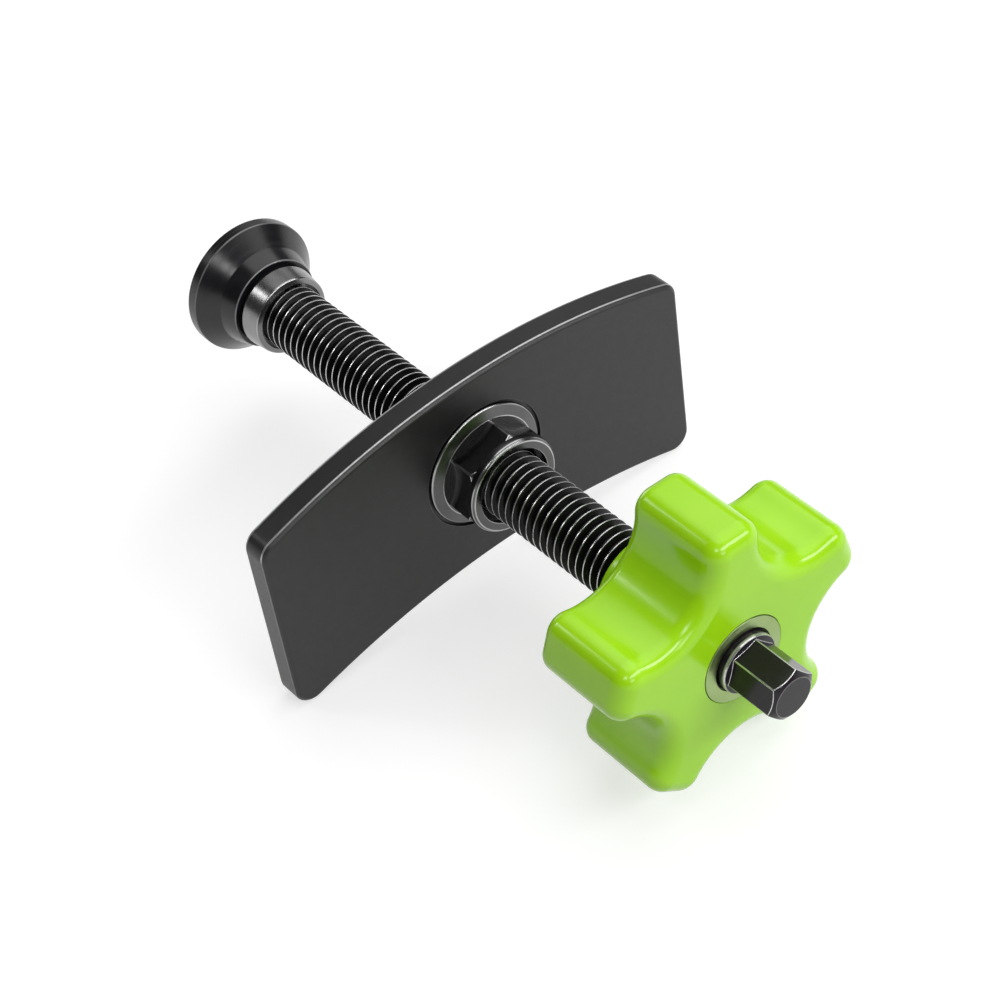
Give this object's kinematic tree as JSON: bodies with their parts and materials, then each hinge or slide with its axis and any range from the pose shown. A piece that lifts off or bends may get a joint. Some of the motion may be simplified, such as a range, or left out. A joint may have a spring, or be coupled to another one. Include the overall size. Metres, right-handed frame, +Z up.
{
  "type": "brake caliper piston tool",
  "caption": "Screw press with a curved backing plate, a lobed handle and a swivel disc that pushes a brake caliper's piston back into its bore.",
  "frame": {"origin": "on the screw's axis, in the backing plate's face on the handle's side", "axes": "+Y along the screw from the handle to the press disc, +Z up towards the plate's convex edge, +X along the plate"},
  "size_m": [0.1172, 0.1878, 0.0685],
  "materials": {
    "plate_paint": "satin black coating",
    "polished_black": "polished black nickel",
    "black_steel": "oiled black oxide",
    "polished_steel": "polished",
    "washer_plastic": "matt",
    "satin_black": "satin black oxide",
    "spring_steel": "bright",
    "green_plastic": "glossy lime green"
  },
  "bodies": {
    "plate": {"backing_plate": "plate_paint", "flange_nut": "polished_black", "lock_ring": "black_steel"},
    "disc": {"press_disc": "satin_black", "swivel_washer": "washer_plastic"},
    "screw": {"spindle": "black_steel", "swivel_collar": "polished_steel", "swivel_circlip": "spring_steel", "knob_body": "green_plastic", "knob_insert": "polished_steel", "knob_pin": "spring_steel"}
  },
  "joints": [
    {"name": "disc_slide", "type": "slide", "parent": "plate", "child": "disc", "axis": [0, 1, 0], "range_m": [-0.061, 0.039]},
    {"name": "screw_turn", "type": "hinge", "parent": "disc", "child": "screw", "pos_m": [0, 0, 0], "axis": [0, 1, 0], "range_deg": [-9500, 6075]}
  ],
  "couplings": [
    {"joint": "disc_slide", "follows": "screw_turn", "m_per_rad": 0.0003675}
  ]
}
